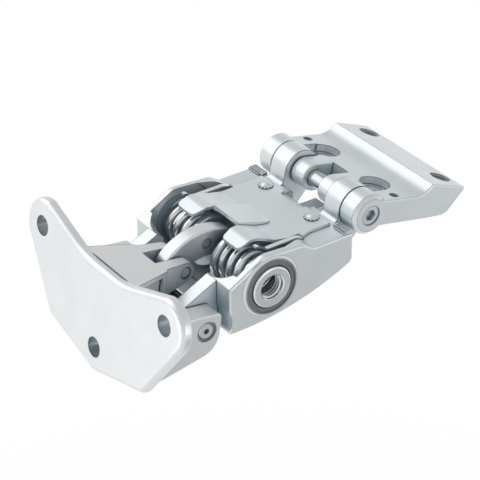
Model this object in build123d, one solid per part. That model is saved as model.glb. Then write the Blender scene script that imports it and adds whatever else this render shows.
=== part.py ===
from build123d import *
from math import atan2, cos, degrees, hypot, radians, sin
import os

# Vehicle door hinge with a built-in door check, in millimetres.
# +X is the hinge axis, +Y runs from the mounting plate to the rear wing, +Z is up.
# The origin is midway between the two upper plate holes, on the plate's front face.
# A cast mounting bracket carries a fork and two lugs. The housing swings on the axle
# through the lugs and holds two sprung plungers that squeeze a curved check arm.
# The rear wing swings on a second axle behind the housing and bolts to the door.

# Fits shared by every pair that they name
pin_gap = 0.05            # radial, a pin or bush in its bore
cheek_gap = 0.4           # sideways, between the cheeks of two moving castings
same_place = 0.01         # an edge or corner this near to a place counts as there

# Mounting plate, drawn in the bracket's own tilted frame
bracket_tilt = 8.3        # degrees, plate leaning forward of square to the housing
plate_hole_span = 90.0
plate_hole_diameter = 8.5
low_hole_drop = 33.7
plate_thickness = 5.0
lobe_radius = 12.0
lobe_out = 0.4            # centre of the lobe, outward of and below its hole
lobe_drop = 0.7
plate_corner_x = 32.7
plate_corner_drop = 32.85
plate_corner_radius = 4.0
plate_point_drop = 38.9
plate_point_radius = 6.0
saddle_half = 14.0        # flat middle of the plate's top edge
saddle_height = 1.8
saddle_radius = 45.0
plate_front_round = 2.4
plate_back_round = 1.0
root_sink = 1.0           # how far fork and lugs run into the plate

# Fork that carries the check arm
fork_top = 2.3
fork_root_half = 18.3
fork_neck_half = 12.7
fork_root_length = 1.0    # straight stretch behind the plate
fork_neck_end = 23.0      # distance from the plate's front face
fork_neck_step = 1.2
fork_arm_half = 11.2
fork_tip_half = 9.3
fork_slot_start = 22.6
fork_slot_gap = 1.1       # each side of the check arm
fork_under_angle = 18.4   # degrees, underside falling towards the plate
fork_recess_start = 9.5
fork_recess_end = 20.6
fork_recess_depth = 1.5
fork_lip = 2.2            # ledge left above the side recess
check_pivot_y = 34.4
check_pivot_drop = 2.3
check_pin_radius = 2.6
check_bush_wall = 0.9
check_pin_chamfer = 0.4

# Lugs that carry the main axle
lug_width = 9.0
lug_top_drop = 8.5
lug_front = 36.6
lug_foot_drop = 25.3      # underside of the lug at its front face
lug_root_drop = 35.7      # underside of the lug at the plate
lug_heel_radius = 10.0
lug_nose_radius = 2.5
lug_rim_chamfer = 0.7
main_pivot_y = 29.9
main_pivot_drop = 15.8
main_axle_radius = 3.6
main_axle_recess = 0.8
axle_centre_hole = 1.2
axle_end_chamfer = 0.5
spacer_radius = 5.6
spacer_groove_width = 1.2
spacer_groove_depth = 0.7
spacer_groove_count = 12

# Check arm
arm_thickness = 7.0
arm_centre_dy = 13.59     # centre of the arc, from the check pivot
arm_centre_dz = -14.56
arm_half_width = 6.1
arm_tail_angle = -5.0     # degrees about the centre of the arc
arm_edge_round = 0.8
arm_eye_margin = 1.0      # ring round the bush that keeps its sharp edge
dimple_radius = 2.2
dimple_depth = 0.5
dimple_step = 19.5        # degrees along the arc
dimple_count = 3

# Housing, drawn from the main pivot
housing_half = 34.0
housing_front = 11.2
housing_front_top = 15.3
crown_front_y = 28.2      # the two knees of the crown
crown_front_z = 24.7
crown_rear_y = 48.2
crown_rear_z = 23.2
crown_radius = 8.0
housing_rim_end = 53.0    # where the crown meets the deck
rim_foot_radius = 2.0
deck_z = 20.0
housing_rear = 73.0
housing_front_low = 6.3
housing_belly_y = 42.0
housing_belly_drop = 4.0
housing_heel_step = 1.2
housing_heel_z = 5.9
housing_heel_rise = 1.6
housing_edge_round = 1.0
front_relief_radius = 12.0
gate_y = 31.0             # axis of plungers and springs
gate_z = 10.1
well_radius = 16.5
well_end_wall = 3.0       # side wall left outside the spring well
floor_thickness = 3.0
opening_radius = 11.1     # front corners of the opening, in plan
opening_lip = 0.3         # front wall left at the rim between the corners
opening_lead = 3.0        # sloped lead below the rim
opening_waist_y = 40.0    # where the opening starts to narrow
opening_tail_half = 26.7
pocket_end = 53.2
pocket_depth = 4.5
throat_half = 18.0        # open mouth between the webs
mouth_overrun = 6.0
web_radius = 9.1
web_bush_wall = 1.4
web_bush_flange = 1.0
web_bush_flange_radius = 6.8
arm_slot_half = 5.0
arm_slot_start = 25.0
arm_slot_end = 52.0

# Rear knuckles of the housing, and the tab that stops the wing
rear_reach = 9.45         # rear pivot behind the housing's rear face
rear_rise = 4.41          # rear pivot above the deck
knuckle_inner = 13.7
knuckle_outer = 23.7
knuckle_radius = 9.0
knuckle_sink = 0.7        # front of the knuckle ahead of the housing's rear face
knuckle_flare = 2.2
knuckle_leg_ahead = 2.4   # lowest edge of the leg, from the rear pivot
knuckle_leg_drop = 15.8
knuckle_heel_behind = 1.2
knuckle_heel_drop = 11.4
knuckle_bush_wall = 1.1
rear_notch_half = 7.5
rear_notch_depth = 4.0
tab_half = 3.4
tab_drop = 9.1            # top of the tab below the rear pivot
tab_thickness = 5.0
tab_behind = 0.4          # end of the tab behind the rear pivot
tab_round = 1.0

# Spring plugs, their rings and the bosses round them
boss_radius = 13.7
boss_top_radius = 12.0
boss_height = 1.3
plug_radius = 9.3
plug_bore_radius = 5.4
plug_proud = 0.4          # above the boss
plug_inward = 0.8         # into the spring well
plug_edge_round = 0.9
plug_bore_chamfer = 0.5
ring_gap = 0.45
ring_wall = 1.65
ring_sunk = 0.4
ring_groove_depth = 1.0
ring_seat_gap = 0.1

# Plungers and springs
plunger_clear = 0.3       # between the plunger's nose and the check arm
plunger_nose_radius = 3.2
plunger_nose_length = 3.7
plunger_flange_radius = 11.5
plunger_flange = 2.5
plunger_rim_round = 0.6
plunger_boss_radius = 5.4
plunger_boss = 5.0
plunger_stem_radius = 3.6
plunger_stem_end = 27.0
spring_radius = 9.6
spring_wire = 3.1
spring_pitch = 5.2
spring_seat_gap = 0.15

# Spring cover, folded from sheet
cover_sheet = 1.2
cover_half = 23.0
cover_step_half = 25.5
cover_tail_y = 58.3
cover_tail_half = 23.9
cover_rear_step = 4.3     # rear edge ahead of the housing's rear face
cover_notch_step = 2.6    # front of its notch ahead of the housing's notch
cover_notch_round = 1.0
finger_inner = 9.0
finger_inner_taper = 1.6
finger_outer = 22.0
finger_tip_y = 23.7
finger_tip_z = 2.6        # heights above the cover's flat
finger_peak_y = 29.7
finger_peak_z = 4.8
finger_rise_y = 33.7
finger_rise_z = 4.3
finger_bend_y = 41.2
finger_bend_z = 1.3
finger_flat_y = 47.2
finger_roll = 7.0         # radius of the bends at the peak
finger_corner = 2.2
pad_front_y = 33.1
pad_front_z = 5.3
pad_rear_y = 50.0
pad_half = 9.2
pad_skirt = 1.7
pad_corner = 2.6
pad_rear_corner = 2.5
rivet_x = 16.0
rivet_rear_step = 3.55
rivet_radius = 3.3
rivet_height = 0.6
rivet_dome_radius = 2.1
rivet_dome_height = 0.9
rivet_shank_radius = 1.0
rivet_grip = 1.5          # length of the shank below the sheet
rivet_scallops = 12
rivet_scallop_radius = 0.45

# Retainer strips and corner stops
strip_width = 2.2
strip_side_gap = 4.4      # outer edge of the strip to the well's side wall
strip_sheet = 0.7
strip_start = 29.0
strip_start_z = 25.2
strip_dip = 34.9
strip_run_z = 22.3
strip_end_step = 0.8      # rear end ahead of the end of the pocket
strip_end_z = 21.3
strip_roll = 3.0
stop_inner = 25.2
stop_side_gap = 0.3
stop_rear_gap = 0.3
stop_depth = 3.3
stop_height = 0.9
stop_gap = 0.1
stop_ribs = 8
stop_groove = 0.35
stop_lip = 0.8            # low lip ahead of the rest
stop_lip_height = 0.4
stop_lip_step = 1.4

# Rear wing, drawn from the rear pivot in its own tilted frame
wing_tilt = 13.5
wing_half = 33.5
barrel_radius = 8.9
barrel_chamfer = 1.6
arm_knuckle_radius = 6.2
arm_knuckle_inner = 5.0
wing_centre_cut = 9.0
wing_pocket_end = 14.6
wing_slab_start = 4.0
wing_low_front = 5.3
wing_bend_y = 22.5
wing_ridge_y = 31.4
wing_ridge_z = 11.2
wing_edge_y = 51.1
wing_edge_z = 8.1
wing_back_y = 43.6
wing_back_z = -2.7
wing_toe_y = 40.8
wing_toe_z = -4.1
wing_low_y = 32.9
wing_low_z = -4.6
hole_pocket_x = 17.0
hole_pocket_y = 14.0
hole_pocket_radius = 6.5
hole_pocket_depth = 3.4
hole_pocket_bore = 4.6
hole_rim_chamfer = 0.9
flange_hole_spacing = 48.0
flange_hole_y = 44.0
flange_hole_diameter = 7.0
flange_sink_diameter = 8.8
flange_sink_depth = 1.3
set_hole_x = 29.5
set_hole_y = 14.0
set_hole_radius = 1.9
set_hole_depth = 6.0
set_screw_sunk = 1.0
set_screw_length = 4.0
set_screw_socket = 1.0
rear_axle_radius = 3.7
end_plug_radius = 4.3
end_plug_depth = 3.0
end_plug_sunk = 0.5
end_plug_socket = 2.6
end_plug_socket_depth = 1.8
wing_edge_round = 0.8
arm_knuckle_round = 0.6


def tilted(y, z, degrees_down):
    """Turn a side-view point down about the X axis."""
    a = radians(degrees_down)
    return y * cos(a) + z * sin(a), -y * sin(a) + z * cos(a)


# Places that follow from the sizes above
bracket_frame = Rot(X=-bracket_tilt)
check_pivot = tilted(check_pivot_y, -check_pivot_drop, bracket_tilt)
main_pivot = tilted(main_pivot_y, -main_pivot_drop, bracket_tilt)
rear_pivot_y = housing_rear + rear_reach
rear_pivot_z = deck_z + rear_rise
housing_frame = Pos(0, main_pivot[0], main_pivot[1])
wing_frame = housing_frame * Pos(0, rear_pivot_y, rear_pivot_z) * Rot(X=-wing_tilt)
lug_inner = housing_half - lug_width
web_outer = lug_inner - cheek_gap
cover_top = deck_z + cover_sheet
well_half = housing_half - well_end_wall
strip_outer = well_half - strip_side_gap
notch_front = housing_rear - rear_notch_depth
cover_rear = housing_rear - cover_rear_step
rivet_y = cover_rear - rivet_rear_step
boss_face = housing_half + boss_height
plug_face = boss_face + plug_proud
spring_end = well_half - plug_inward
rivet_depth = rivet_grip + cheek_gap
fork_slot_half = arm_thickness / 2 + fork_slot_gap
fork_end_radius = fork_top + check_pivot_drop
check_bush_radius = check_pin_radius + pin_gap + check_bush_wall
web_bore = main_axle_radius + pin_gap + web_bush_wall
rear_bush_radius = rear_axle_radius + pin_gap + knuckle_bush_wall
ring_inner = plug_radius + ring_gap
ring_outer = ring_inner + ring_wall
plunger_face = arm_thickness / 2 + plunger_clear
flange_face = plunger_face + plunger_nose_length
spring_start = flange_face + plunger_flange + spring_seat_gap
wing_pocket_inner = knuckle_inner - cheek_gap
wing_pocket_outer = knuckle_outer + cheek_gap


def side_slab(face, x_from, x_to):
    """Extrude a side-view face, drawn as (y, z), from one X to another."""
    return Pos(X=x_from) * extrude(Plane.YZ * face, x_to - x_from)


def top_slab(face, z_from, z_to):
    """Extrude a plan-view face from one height to another."""
    return Pos(Z=z_from) * extrude(face, z_to - z_from)


def polygon(*points):
    """Close a plain outline."""
    return make_face(Polyline(*points, close=True))


def x_rod(radius, x_from, x_to, y=0.0, z=0.0):
    """A round bar along X."""
    return side_slab(Pos(y, z) * Circle(radius), x_from, x_to)


def x_tube(outer, inner, x_from, x_to, y=0.0, z=0.0):
    """A round sleeve along X."""
    return side_slab(Pos(y, z) * (Circle(outer) - Circle(inner)), x_from, x_to)


def face_of(*lines):
    """The face inside a closed chain of lines."""
    return make_face([edge for line in lines for edge in line.edges()])


def both_sides(shape):
    """A shape together with its mirror image across the middle plane."""
    return shape + mirror(shape, Plane.YZ)


def one(part):
    """The single solid of a part, checked to be one."""
    solids = part.solids()
    if len(solids) != 1:
        raise ValueError(f"expected one solid, found {len(solids)}")
    return solids[0]


def edges_near(part, x=None, y=None, z=None, reach=same_place):
    """Edges whose ends all lie at the stated coordinates."""
    def fits(edge):
        for vertex in edge.vertices():
            for want, have in ((x, abs(vertex.X)), (y, vertex.Y), (z, vertex.Z)):
                if want is not None and abs(have - want) > reach:
                    return False
        return True
    return part.edges().filter_by(fits)


# Mounting bracket

def plate_face():
    """Plate outline in (x, z): two lobes, a dipped top edge and a pointed foot."""
    lobe = plate_hole_span / 2 + lobe_out
    rounds = Sketch() + [Pos(side * lobe, -lobe_drop) * Circle(lobe_radius) for side in (-1, 1)]
    rounds += [Pos(side * plate_corner_x, -plate_corner_drop) * Circle(plate_corner_radius)
               for side in (-1, 1)]
    rounds += Pos(0, -plate_point_drop) * Circle(plate_point_radius)
    outline = make_hull(rounds.edges())
    reach = hypot(lobe - saddle_half, saddle_height + lobe_drop)
    drop = atan2(saddle_height + lobe_drop, lobe - saddle_half)
    rise = degrees(atan2(lobe_radius, (reach ** 2 - lobe_radius ** 2) ** 0.5) - drop)
    length = 1.5 * reach
    far = (saddle_half + length * cos(radians(rise)), saddle_height + length * sin(radians(rise)))
    dip = polygon((-saddle_half, saddle_height), (saddle_half, saddle_height), far, (-far[0], far[1]))
    dip = fillet(dip.vertices().sort_by(Axis.Y)[:2], saddle_radius)
    return outline - dip


def mount_plate():
    """Flat plate with rounded front edge; the extrusion runs back from the front face."""
    plate = extrude(Plane.XZ * plate_face(), -plate_thickness)
    plate = fillet(edges_near(plate, y=0), plate_front_round)
    plate = fillet(edges_near(plate, y=plate_thickness), plate_back_round)
    holes = [(-plate_hole_span / 2, 0), (plate_hole_span / 2, 0), (0, -low_hole_drop)]
    drill = Plane.XZ * (Sketch() + [Pos(x, z) * Circle(plate_hole_diameter / 2) for x, z in holes])
    return plate - extrude(drill, -plate_thickness)


def fork():
    """Tapered tongue with a slot for the check arm and a rounded, bored end."""
    start = plate_thickness - root_sink
    root = plate_thickness + fork_root_length
    tip = check_pivot_y + fork_end_radius
    half = [(0, start), (fork_root_half, start), (fork_root_half, root),
            (fork_neck_half, fork_neck_end), (fork_arm_half, fork_neck_end + fork_neck_step),
            (fork_tip_half, tip), (0, tip)]
    plan = polygon(*half, *[(-x, y) for x, y in reversed(half) if x > 0])
    fall = sin(radians(fork_under_angle)) / cos(radians(fork_under_angle))
    low_tip = -check_pivot_drop - fork_end_radius
    low_root = low_tip - (check_pivot_y - start) * fall
    side = polygon((start, fork_top), (check_pivot_y, fork_top), (check_pivot_y, low_tip),
                   (start, low_root))
    side += Pos(check_pivot_y, -check_pivot_drop) * Circle(fork_end_radius)
    body = top_slab(plan, low_root, fork_top) & side_slab(side, -fork_root_half, fork_root_half)
    slot = top_slab(Pos(0, tip) * Rectangle(2 * fork_slot_half, 2 * (tip - fork_slot_start)),
                    low_root, fork_top)
    recess = polygon((fork_recess_start, fork_top - fork_lip), (fork_recess_end, fork_top - fork_lip),
                     (fork_recess_end, low_root), (fork_recess_start, low_root))
    core = [(2 * fork_root_half, root), (fork_root_half - fork_recess_depth, root),
            (fork_neck_half - fork_recess_depth, fork_neck_end), (2 * fork_root_half, fork_neck_end)]
    side_cut = side_slab(recess, 0, fork_root_half) & top_slab(polygon(*core), low_root, fork_top)
    bore = x_rod(check_pin_radius, -fork_root_half, fork_root_half, check_pivot_y, -check_pivot_drop)
    return body - slot - both_sides(side_cut) - bore


def lug():
    """One lug on the +X side, flush with the housing's side."""
    start = plate_thickness - root_sink
    side = polygon((start, -lug_top_drop), (lug_front, -lug_top_drop), (lug_front, -lug_foot_drop),
                   (start, -lug_root_drop))
    side = fillet(side.vertices().group_by(Axis.X)[-1].sort_by(Axis.Y)[-1], lug_nose_radius)
    heel = [v for v in side.vertices() if abs(v.Y + lug_foot_drop) < same_place]
    side = fillet(heel, lug_heel_radius)
    body = side_slab(side, lug_inner, housing_half)
    body = fillet(edges_near(body, x=housing_half), lug_rim_chamfer)
    bore = x_rod(main_axle_radius + pin_gap, lug_inner, housing_half, main_pivot_y, -main_pivot_drop)
    mouth = x_rod(main_axle_radius + main_axle_recess, housing_half - main_axle_recess, housing_half,
                  main_pivot_y, -main_pivot_drop)
    return body - bore - mouth


def mount_bracket():
    """Plate, fork and lugs as one casting."""
    return bracket_frame * (mount_plate() + fork() + both_sides(lug()))


def check_arm_pin():
    """Headless pin across the fork, flush with its pads."""
    spread = (fork_arm_half - fork_tip_half) / (check_pivot_y + fork_end_radius - fork_neck_end)
    half = fork_tip_half + (fork_end_radius - check_pin_radius) * spread
    pin = chamfer(x_rod(check_pin_radius - pin_gap, -half, half).edges(), check_pin_chamfer)
    return bracket_frame * Pos(0, check_pivot_y, -check_pivot_drop) * pin


def pivot_axle():
    """Through axle from lug to lug, with centre holes in its ends."""
    half = housing_half - main_axle_recess / 2
    axle = chamfer(x_rod(main_axle_radius, -half, half).edges(), axle_end_chamfer)
    centre = x_rod(axle_centre_hole, half - 2 * axle_centre_hole, half)
    return housing_frame * (axle - both_sides(centre))


def pivot_spacer():
    """Fluted sleeve that keeps the webs apart."""
    half = throat_half - web_bush_flange - cheek_gap / 2
    sleeve = Circle(spacer_radius) - Circle(main_axle_radius + pin_gap)
    flute = Rectangle(2 * spacer_groove_depth, spacer_groove_width)
    sleeve -= PolarLocations(spacer_radius, spacer_groove_count) * flute
    return housing_frame * side_slab(sleeve, -half, half)


# Check arm

def arm_geometry():
    """Centre, middle radius and pivot angle of the arm's arc."""
    centre = (check_pivot[0] + arm_centre_dy, check_pivot[1] + arm_centre_dz)
    return centre, hypot(arm_centre_dy, arm_centre_dz), degrees(atan2(-arm_centre_dz, -arm_centre_dy))


def check_arm():
    """Curved bar with rounded ends and detent dimples on both cheeks."""
    centre, middle, top = arm_geometry()
    bow = CenterArc(centre, middle, arm_tail_angle, top - arm_tail_angle)
    outline = make_face(offset(bow, arm_half_width, kind=Kind.ARC).edges())
    outline -= Pos(*check_pivot) * Circle(check_bush_radius + pin_gap)
    bar = side_slab(outline, -arm_thickness / 2, arm_thickness / 2)
    rim = [e for e in edges_near(bar, x=arm_thickness / 2)
           if (e.center() - Vector(e.center().X, *check_pivot)).length > check_bush_radius + arm_eye_margin]
    bar = fillet(rim, arm_edge_round)
    gate = Vector(0, main_pivot[0] + gate_y, main_pivot[1] + gate_z)
    aim = degrees(atan2(gate.Z - centre[1], gate.Y - centre[0]))
    for i in range(dimple_count):
        angle = radians(aim + i * dimple_step)
        spot = (centre[0] + middle * cos(angle), centre[1] + middle * sin(angle))
        pit = x_rod(dimple_radius, arm_thickness / 2 - dimple_depth, arm_thickness / 2, *spot)
        bar -= both_sides(pit)
    return bar


def check_arm_bush():
    """Plain bush pressed in the arm's eye."""
    half = arm_thickness / 2 + fork_slot_gap / 2
    return x_tube(check_bush_radius, check_pin_radius + pin_gap, -half, half, *check_pivot)


# Housing

def housing_outline():
    """Side view of the housing's walls, (y, z) from the main pivot."""
    front_low = (housing_front, -housing_front_low)
    heel = (housing_rear - housing_heel_step, housing_heel_z)
    top = FilletPolyline((housing_front, housing_front_top), (crown_front_y, crown_front_z),
                         (crown_rear_y, crown_rear_z), (housing_rim_end, deck_z),
                         (housing_rear, deck_z), radius=(crown_radius, crown_radius, rim_foot_radius))
    back = Polyline((housing_rear, deck_z), (housing_rear, housing_heel_z + housing_heel_rise), heel)
    belly = ThreePointArc(heel, (housing_belly_y, -housing_belly_drop), front_low)
    return face_of(top, back, belly, Line(front_low, (housing_front, housing_front_top)))


def housing_well():
    """Side view of the room that the plungers, springs and arm work in."""
    round_well = Pos(gate_y, gate_z) * Circle(well_radius)
    floor = Pos(0, floor_thickness) * housing_outline()
    above = Pos(gate_y, crown_front_z) * Rectangle(2.2 * well_radius, 2 * (crown_front_z - gate_z))
    return round_well & (floor + above)


def opening_plan():
    """Horseshoe opening over the springs, round at its front corners."""
    centre_x = well_half - opening_radius
    centre_y = housing_front + opening_lip + opening_radius
    rounds = [Pos(side * centre_x, centre_y) * Circle(opening_radius) for side in (-1, 1)]
    waist = Line((-well_half, opening_waist_y), (well_half, opening_waist_y))
    tail = Line((-opening_tail_half, pocket_end), (opening_tail_half, pocket_end))
    return make_hull([*rounds[0].edges(), *rounds[1].edges(), *waist.edges(), *tail.edges()])


def web():
    """Forward arm on the +X side that carries the main bush."""
    eye = Circle(web_radius)
    wall = Line((housing_front, -housing_front_low), (housing_front, housing_front_top))
    return side_slab(make_hull([*eye.edges(), *wall.edges()]), throat_half, web_outer)


def rear_knuckle():
    """One rear knuckle on the +X side: an eye, a flared front and a leg behind the deck."""
    front = housing_rear - knuckle_sink
    low = rear_pivot_z - knuckle_leg_drop
    eye = Pos(rear_pivot_y, rear_pivot_z) * Circle(knuckle_radius)
    foot = Polyline((front, deck_z), (front, low), (rear_pivot_y - knuckle_leg_ahead, low),
                    (rear_pivot_y + knuckle_heel_behind, rear_pivot_z - knuckle_heel_drop))
    side = make_hull([*eye.edges(), *foot.edges()])
    side += polygon((front - 2 * knuckle_flare, deck_z), (front - 2 * knuckle_flare, low),
                    (front, low), (front, deck_z))
    corner = side.vertices().sort_by_distance((front, deck_z))[0]
    return side_slab(fillet(corner, knuckle_flare), knuckle_inner, knuckle_outer)


def stop_tab():
    """Tab between the wing's middle knuckles that limits how far the wing folds down."""
    top = rear_pivot_z - tab_drop
    end = rear_pivot_y + tab_behind
    plan = Pos(0, end) * Rectangle(2 * tab_half, 2 * (end - notch_front + root_sink))
    plan &= Pos(0, end - rear_pivot_y) * Rectangle(2 * tab_half, 2 * rear_pivot_y)
    tab = top_slab(plan, top - tab_thickness, top)
    return fillet(edges_near(tab, y=end), tab_round)


def plug_boss():
    """Low cone round the spring plug on the +X side, kept inside the housing's outline."""
    base = x_rod(boss_radius, well_half, housing_half, gate_y, gate_z)
    cone = Pos(housing_half, gate_y, gate_z) * Rot(Y=90) * Cone(
        boss_radius, boss_top_radius, boss_height, align=(Align.CENTER, Align.CENTER, Align.MIN))
    return (base + cone) & side_slab(housing_outline(), 0, boss_face)


def housing():
    """Main casting: side walls, floor, deck, forward webs and rear knuckles."""
    high = 2 * crown_front_z
    block = side_slab(housing_outline(), -housing_half, housing_half)
    block = fillet(edges_near(block, x=housing_half), housing_edge_round)
    body = block + both_sides(plug_boss()) + both_sides(web()) + both_sides(rear_knuckle())
    body -= both_sides(x_rod(front_relief_radius, web_outer, housing_half))
    body -= side_slab(housing_well(), -well_half, well_half)
    plan = opening_plan()
    rim = deck_z - pocket_depth
    body -= top_slab(plan, rim, high)
    ahead = Rectangle(2 * housing_half, 2 * gate_y)
    body -= Pos(Z=rim) * extrude(plan & ahead, -opening_lead, taper=45)
    run = gate_y - well_radius + mouth_overrun
    mouth = Rectangle(2 * throat_half, 2 * run)
    body -= top_slab(mouth, floor_thickness - housing_front_low, high)
    slot = Pos(0, (arm_slot_start + arm_slot_end) / 2) * Rectangle(2 * arm_slot_half,
                                                                   arm_slot_end - arm_slot_start)
    body -= top_slab(slot, -2 * housing_front_low, gate_z)
    notch = Pos(0, rear_pivot_y) * Rectangle(2 * rear_notch_half, 2 * (rear_pivot_y - notch_front))
    body -= top_slab(notch, -housing_front_low, high)
    body += stop_tab()
    body -= x_rod(web_bore + pin_gap, -housing_half, housing_half)
    body -= x_rod(rear_bush_radius + pin_gap, -housing_half, housing_half, rear_pivot_y, rear_pivot_z)
    body -= x_rod(ring_outer + pin_gap, -boss_face, boss_face, gate_y, gate_z)
    for side in (-1, 1):
        body -= Pos(side * rivet_x, rivet_y, deck_z) * Cylinder(rivet_shank_radius, 2 * rivet_depth)
    return housing_frame * body


def pivot_bush(side):
    """Flanged bush in one forward web."""
    tube = x_tube(web_bore, main_axle_radius + pin_gap, throat_half, web_outer)
    flange = x_tube(web_bush_flange_radius, main_axle_radius + pin_gap,
                    throat_half - web_bush_flange, throat_half)
    return housing_frame * handed(tube + flange, side)


def knuckle_bush(side):
    """Plain bush in one rear knuckle."""
    tube = x_tube(rear_bush_radius, rear_axle_radius + pin_gap, knuckle_inner, knuckle_outer,
                  rear_pivot_y, rear_pivot_z)
    return housing_frame * handed(tube, side)


def handed(shape, side):
    """A +X shape, or its mirror image for the -X side."""
    return shape if side > 0 else mirror(shape, Plane.YZ)


# Spring cover

def cover_flat():
    """Plan of the cover's flat and tail."""
    half = [(cover_half, finger_flat_y), (cover_half, pocket_end), (cover_step_half, pocket_end),
            (cover_tail_half, cover_tail_y), (cover_tail_half, cover_rear)]
    flat = polygon(*half, *[(-x, y) for x, y in reversed(half)])
    return top_slab(flat, deck_z, cover_top)


def finger_sheet():
    """Side view of a finger: the sheet rolls over its peak and is creased twice behind it."""
    upper = FilletPolyline((finger_tip_y, cover_top + finger_tip_z), (finger_peak_y, cover_top + finger_peak_z),
                           (finger_rise_y, cover_top + finger_rise_z), (finger_bend_y, cover_top + finger_bend_z),
                           (finger_flat_y, cover_top), (pocket_end, cover_top),
                           radius=(finger_roll, finger_roll, 0, 0))
    lower = Pos(0, -cover_sheet) * upper
    return face_of(upper, lower, Line(upper @ 0, lower @ 0), Line(upper @ 1, lower @ 1))


def cover_finger():
    """One bent finger on the +X side with rounded tip corners."""
    sheet = side_slab(finger_sheet(), finger_inner - pad_corner, cover_half)
    plan = polygon((finger_inner + finger_inner_taper, finger_tip_y), (finger_outer, finger_tip_y),
                   (finger_outer, finger_rise_y), (cover_half, finger_bend_y), (cover_half, pocket_end),
                   (finger_inner - pad_corner, pocket_end), (finger_inner - pad_corner, pad_front_y),
                   (finger_inner, pad_front_y), (finger_inner, finger_peak_y))
    tip = plan.vertices().group_by(Axis.Y)[0]
    return sheet & top_slab(fillet(tip, finger_corner), 0, 2 * cover_top)


def cover_pad():
    """Raised middle over the check arm, sloping down to the flat with rounded rear corners."""
    side = polygon((pad_front_y, cover_top + pad_front_z), (pad_rear_y, cover_top),
                   (pad_rear_y, deck_z), (finger_flat_y, deck_z),
                   (pad_front_y, cover_top + pad_front_z - pad_skirt))
    pad = side_slab(side, -pad_half, pad_half)
    plan = Pos(0, pad_rear_y) * Rectangle(2 * pad_half, 2 * (pad_rear_y - pad_front_y))
    plan &= Rectangle(2 * pad_half, 2 * pad_rear_y)
    rear = plan.vertices().group_by(Axis.Y)[-1]
    return pad & top_slab(fillet(rear, pad_rear_corner), 0, 2 * cover_top)


def spring_cover():
    """Folded sheet cover, with its notches and rivet holes."""
    body = cover_flat() + both_sides(cover_finger()) + cover_pad()
    corner = Pos(0, pad_front_y - pad_corner) * Rectangle(2 * pad_half, 2 * pad_corner)
    corner = fillet(corner.vertices().group_by(Axis.Y)[-1], pad_corner)
    body -= top_slab(corner, 0, 2 * cover_top)
    notch = Pos(0, cover_rear) * Rectangle(2 * rear_notch_half, 2 * (cover_rear - notch_front + cover_notch_step))
    notch = fillet(notch.vertices().group_by(Axis.Y)[0], cover_notch_round)
    body -= top_slab(notch, deck_z, cover_top)
    for side in (-1, 1):
        body -= Pos(side * rivet_x, rivet_y, deck_z) * Cylinder(rivet_shank_radius, 4 * cover_sheet)
    return housing_frame * body


def cover_rivet(side):
    """Rivet with a scalloped rim and a low dome."""
    upward = (Align.CENTER, Align.CENTER, Align.MIN)
    head = Cylinder(rivet_radius, rivet_height, align=upward)
    head -= PolarLocations(rivet_radius, rivet_scallops) * Cylinder(rivet_scallop_radius, rivet_height,
                                                                     align=upward)
    ball = (rivet_dome_radius ** 2 + rivet_dome_height ** 2) / (2 * rivet_dome_height)
    dome = Pos(Z=rivet_height + rivet_dome_height - ball) * Sphere(ball)
    dome &= Pos(Z=rivet_height / 2) * Cylinder(rivet_dome_radius, 2 * ball, align=upward)
    shank = Pos(Z=-cover_sheet - rivet_grip) * Cylinder(rivet_shank_radius - pin_gap,
                                                        cover_sheet + rivet_grip, align=upward)
    return housing_frame * Pos(side * rivet_x, rivet_y, cover_top) * (head + dome + shank)


# Plungers, springs and plugs

def plunger(side):
    """Flanged plunger: nose on the arm's cheek, boss in the spring, stem in the plug."""
    rim = flange_face + plunger_flange
    boss = rim + plunger_boss
    profile = [(plunger_face, 0), (plunger_face, plunger_nose_radius), (flange_face, plunger_nose_radius),
               (flange_face, plunger_flange_radius), (rim, plunger_flange_radius),
               (rim, plunger_boss_radius), (boss, plunger_boss_radius), (boss, plunger_stem_radius),
               (plunger_stem_end, plunger_stem_radius), (plunger_stem_end, 0)]
    body = revolve(Plane.XY * polygon(*profile), Axis.X)
    edges = body.edges().filter_by(GeomType.CIRCLE)
    edges = edges.filter_by(lambda e: abs(e.radius - plunger_flange_radius) < same_place)
    return housing_frame * Pos(0, gate_y, gate_z) * handed(fillet(edges, plunger_rim_round), side)


def detent_spring(side):
    """Coil spring between the plunger's flange and the plug, with ground ends."""
    length = spring_end - spring_seat_gap - spring_start
    coil = Helix(spring_pitch, length + spring_pitch, spring_radius - spring_wire / 2)
    start = Plane(coil @ 0, z_dir=coil % 0)
    wire = sweep(start * Circle(spring_wire / 2), path=coil, is_frenet=True)
    room = Cylinder(2 * spring_radius, length, align=(Align.CENTER, Align.CENTER, Align.MIN))
    body = Pos(X=spring_start) * Rot(Y=90) * ((Pos(Z=-spring_pitch / 2) * wire) & room)
    return housing_frame * Pos(0, gate_y, gate_z) * handed(body, side)


def spring_plug(side):
    """Bored disc in the side wall that takes the spring's thrust."""
    body = x_tube(plug_radius, plug_bore_radius, spring_end, plug_face, gate_y, gate_z)
    rims = edges_near(body, x=plug_face).sort_by(lambda e: e.radius)
    body = fillet(rims[-1], plug_edge_round)
    rims = edges_near(body, x=plug_face).sort_by(lambda e: e.radius)
    body = chamfer(rims[0], plug_bore_chamfer)
    return housing_frame * handed(body, side)


def plug_ring(side):
    """Soft ring between the plug and the housing."""
    face = boss_face - ring_sunk
    ring = x_tube(ring_outer, plug_radius + ring_seat_gap, well_half, face, gate_y, gate_z)
    groove = x_tube(ring_inner, plug_radius, face - ring_groove_depth, face, gate_y, gate_z)
    return housing_frame * handed(ring - groove, side)


# Trim on the housing

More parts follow.
